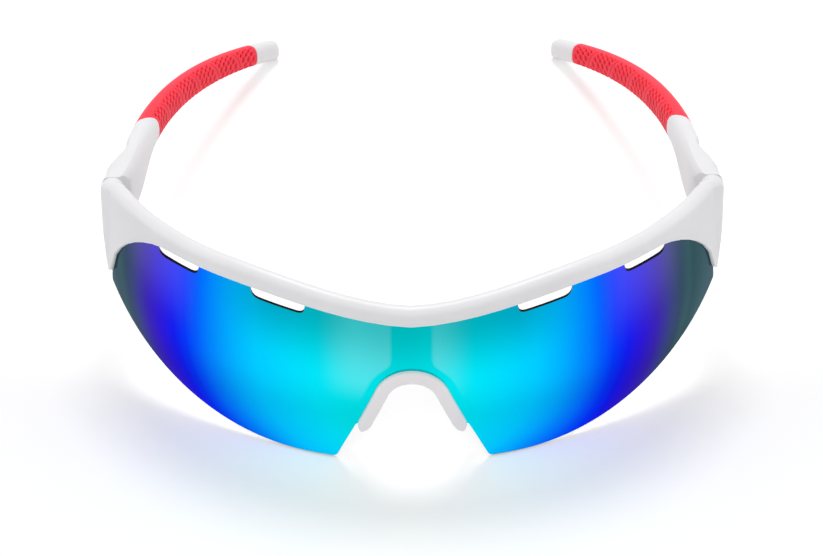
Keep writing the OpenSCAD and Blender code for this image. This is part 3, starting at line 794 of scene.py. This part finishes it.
shield_lens()
nose_pad()
for side in SIDES:
    temple_grip(side)


# Floor, world, lamps and camera
def joined(tree, operation, first, second):
    """A math node between two sources."""
    made = tree.nodes.new("ShaderNodeMath")
    made.operation = operation
    tree.links.new(first, made.inputs[0])
    tree.links.new(second, made.inputs[1])
    return made.outputs[0]


def ranged(tree, source, values):
    """A source's range, the first two values, stretched to the last two."""
    made = tree.nodes.new("ShaderNodeMapRange")
    tree.links.new(source, made.inputs["Value"])
    for socket, value in zip(("From Min", "From Max", "To Min", "To Max"), values):
        made.inputs[socket].default_value = value
    return made.outputs[0]


def camera_only(tree):
    """A factor that is 1 for the rays which show a backdrop."""
    path = tree.nodes.new("ShaderNodeLightPath").outputs
    shown = joined(tree, "MAXIMUM", path["Is Camera Ray"], path["Is Glossy Ray"])
    return joined(tree, "MAXIMUM", shown, path["Is Transmission Ray"])


def make_floor():
    size, drop = 3.0, 0.0003
    mesh = bpy.data.meshes.new("floor")
    corners = [(-size, -size, -drop), (size, -size, -drop), (size, size, -drop), (-size, size, -drop)]
    mesh.from_pydata(corners, [], [(0, 1, 2, 3)])
    floor = bpy.data.objects.new("floor", mesh)
    bpy.context.scene.collection.objects.link(floor)
    material = bpy.data.materials.new("floor")
    material.use_nodes = True
    tree = material.node_tree
    tree.nodes.clear()
    out = tree.nodes.new("ShaderNodeOutputMaterial")
    matt = tree.nodes.new("ShaderNodeBsdfDiffuse")
    matt.inputs["Color"].default_value = (0.85, 0.85, 0.85, 1)
    glow = tree.nodes.new("ShaderNodeEmission")
    both = tree.nodes.new("ShaderNodeAddShader")
    away = tree.nodes.new("ShaderNodeVectorMath")
    away.operation = "LENGTH"
    tree.links.new(tree.nodes.new("ShaderNodeTexCoord").outputs["Object"], away.inputs[0])
    # painted light: the floor is lit up inside the curve of the lens, where the temples' shadows fall, and
    # far off, where the lamps reach less
    near = ranged(tree, away.outputs["Value"], (0.075, 0.098, 0.16, 0))
    far = ranged(tree, away.outputs["Value"], (0.25, 1.2, 0.16, 0.6))
    lift = joined(tree, "MULTIPLY", camera_only(tree), joined(tree, "ADD", near, far))
    tree.links.new(lift, glow.inputs["Strength"])
    tree.links.new(matt.outputs[0], both.inputs[0])
    tree.links.new(glow.outputs[0], both.inputs[1])
    tree.links.new(both.outputs[0], out.inputs["Surface"])
    mesh.materials.append(material)


def make_world():
    world = bpy.data.worlds.new("studio")
    bpy.context.scene.world = world
    world.use_nodes = True
    tree = world.node_tree
    back = tree.nodes["Background"]
    back.inputs["Color"].default_value = (1, 1, 1, 1)
    strength = ranged(tree, camera_only(tree), (0, 1, 0.5, 1.0))
    tree.links.new(strength, back.inputs["Strength"])


def make_lamp(name, place, size, power):
    """A round lamp that faces the glasses."""
    target = (0, -0.02, 0.02)
    data = bpy.data.lights.new(name, "AREA")
    data.shape = "DISK"
    data.size = size
    data.energy = power
    lamp = bpy.data.objects.new(name, data)
    bpy.context.scene.collection.objects.link(lamp)
    lamp.location = place
    lamp.rotation_mode = "QUATERNION"
    lamp.rotation_quaternion = (Vector(target) - Vector(place)).to_track_quat("-Z", "Y")


def make_camera():
    """The photograph's view: its turn, height, roll, distance and aim, fitted to its edges."""
    width, height, sensor = 823, 556, 36
    aim = Vector((0, -33.47, 18)) * MM
    distance, focal, centre = 0.7, 2952, (412.9, 272.4)
    turn, rise, roll = (math.radians(v) for v in (0.62, 39.22, -0.66))
    back = Vector((math.sin(turn) * math.cos(rise), -math.cos(turn) * math.cos(rise), math.sin(rise)))
    level = Vector((math.cos(turn), math.sin(turn), 0))
    upright = back.cross(level)
    right = math.cos(roll) * level + math.sin(roll) * upright
    up = -math.sin(roll) * level + math.cos(roll) * upright
    data = bpy.data.cameras.new("camera")
    data.sensor_width = sensor
    data.lens = focal * sensor / width
    data.shift_x = (width / 2 - centre[0]) / width
    data.shift_y = (centre[1] - height / 2) / width
    data.clip_start, data.clip_end = 0.01, 20
    camera = bpy.data.objects.new("camera", data)
    bpy.context.scene.collection.objects.link(camera)
    place = Matrix((right, up, back)).transposed().to_4x4()
    place.translation = aim + distance * back
    camera.matrix_world = place
    bpy.context.scene.camera = camera


make_floor()
make_world()
make_lamp("key", (0, 0.37, 0.82), 0.34, 3.0)
make_lamp("fill", (0, -0.75, 0.55), 0.9, 1.7)
for side, sign in SIDES.items():
    make_lamp("fill_" + side, (0.8 * sign, 0, 0.5), 0.6, 1.2)
make_camera()
bpy.context.scene.view_settings.view_transform = "Standard"
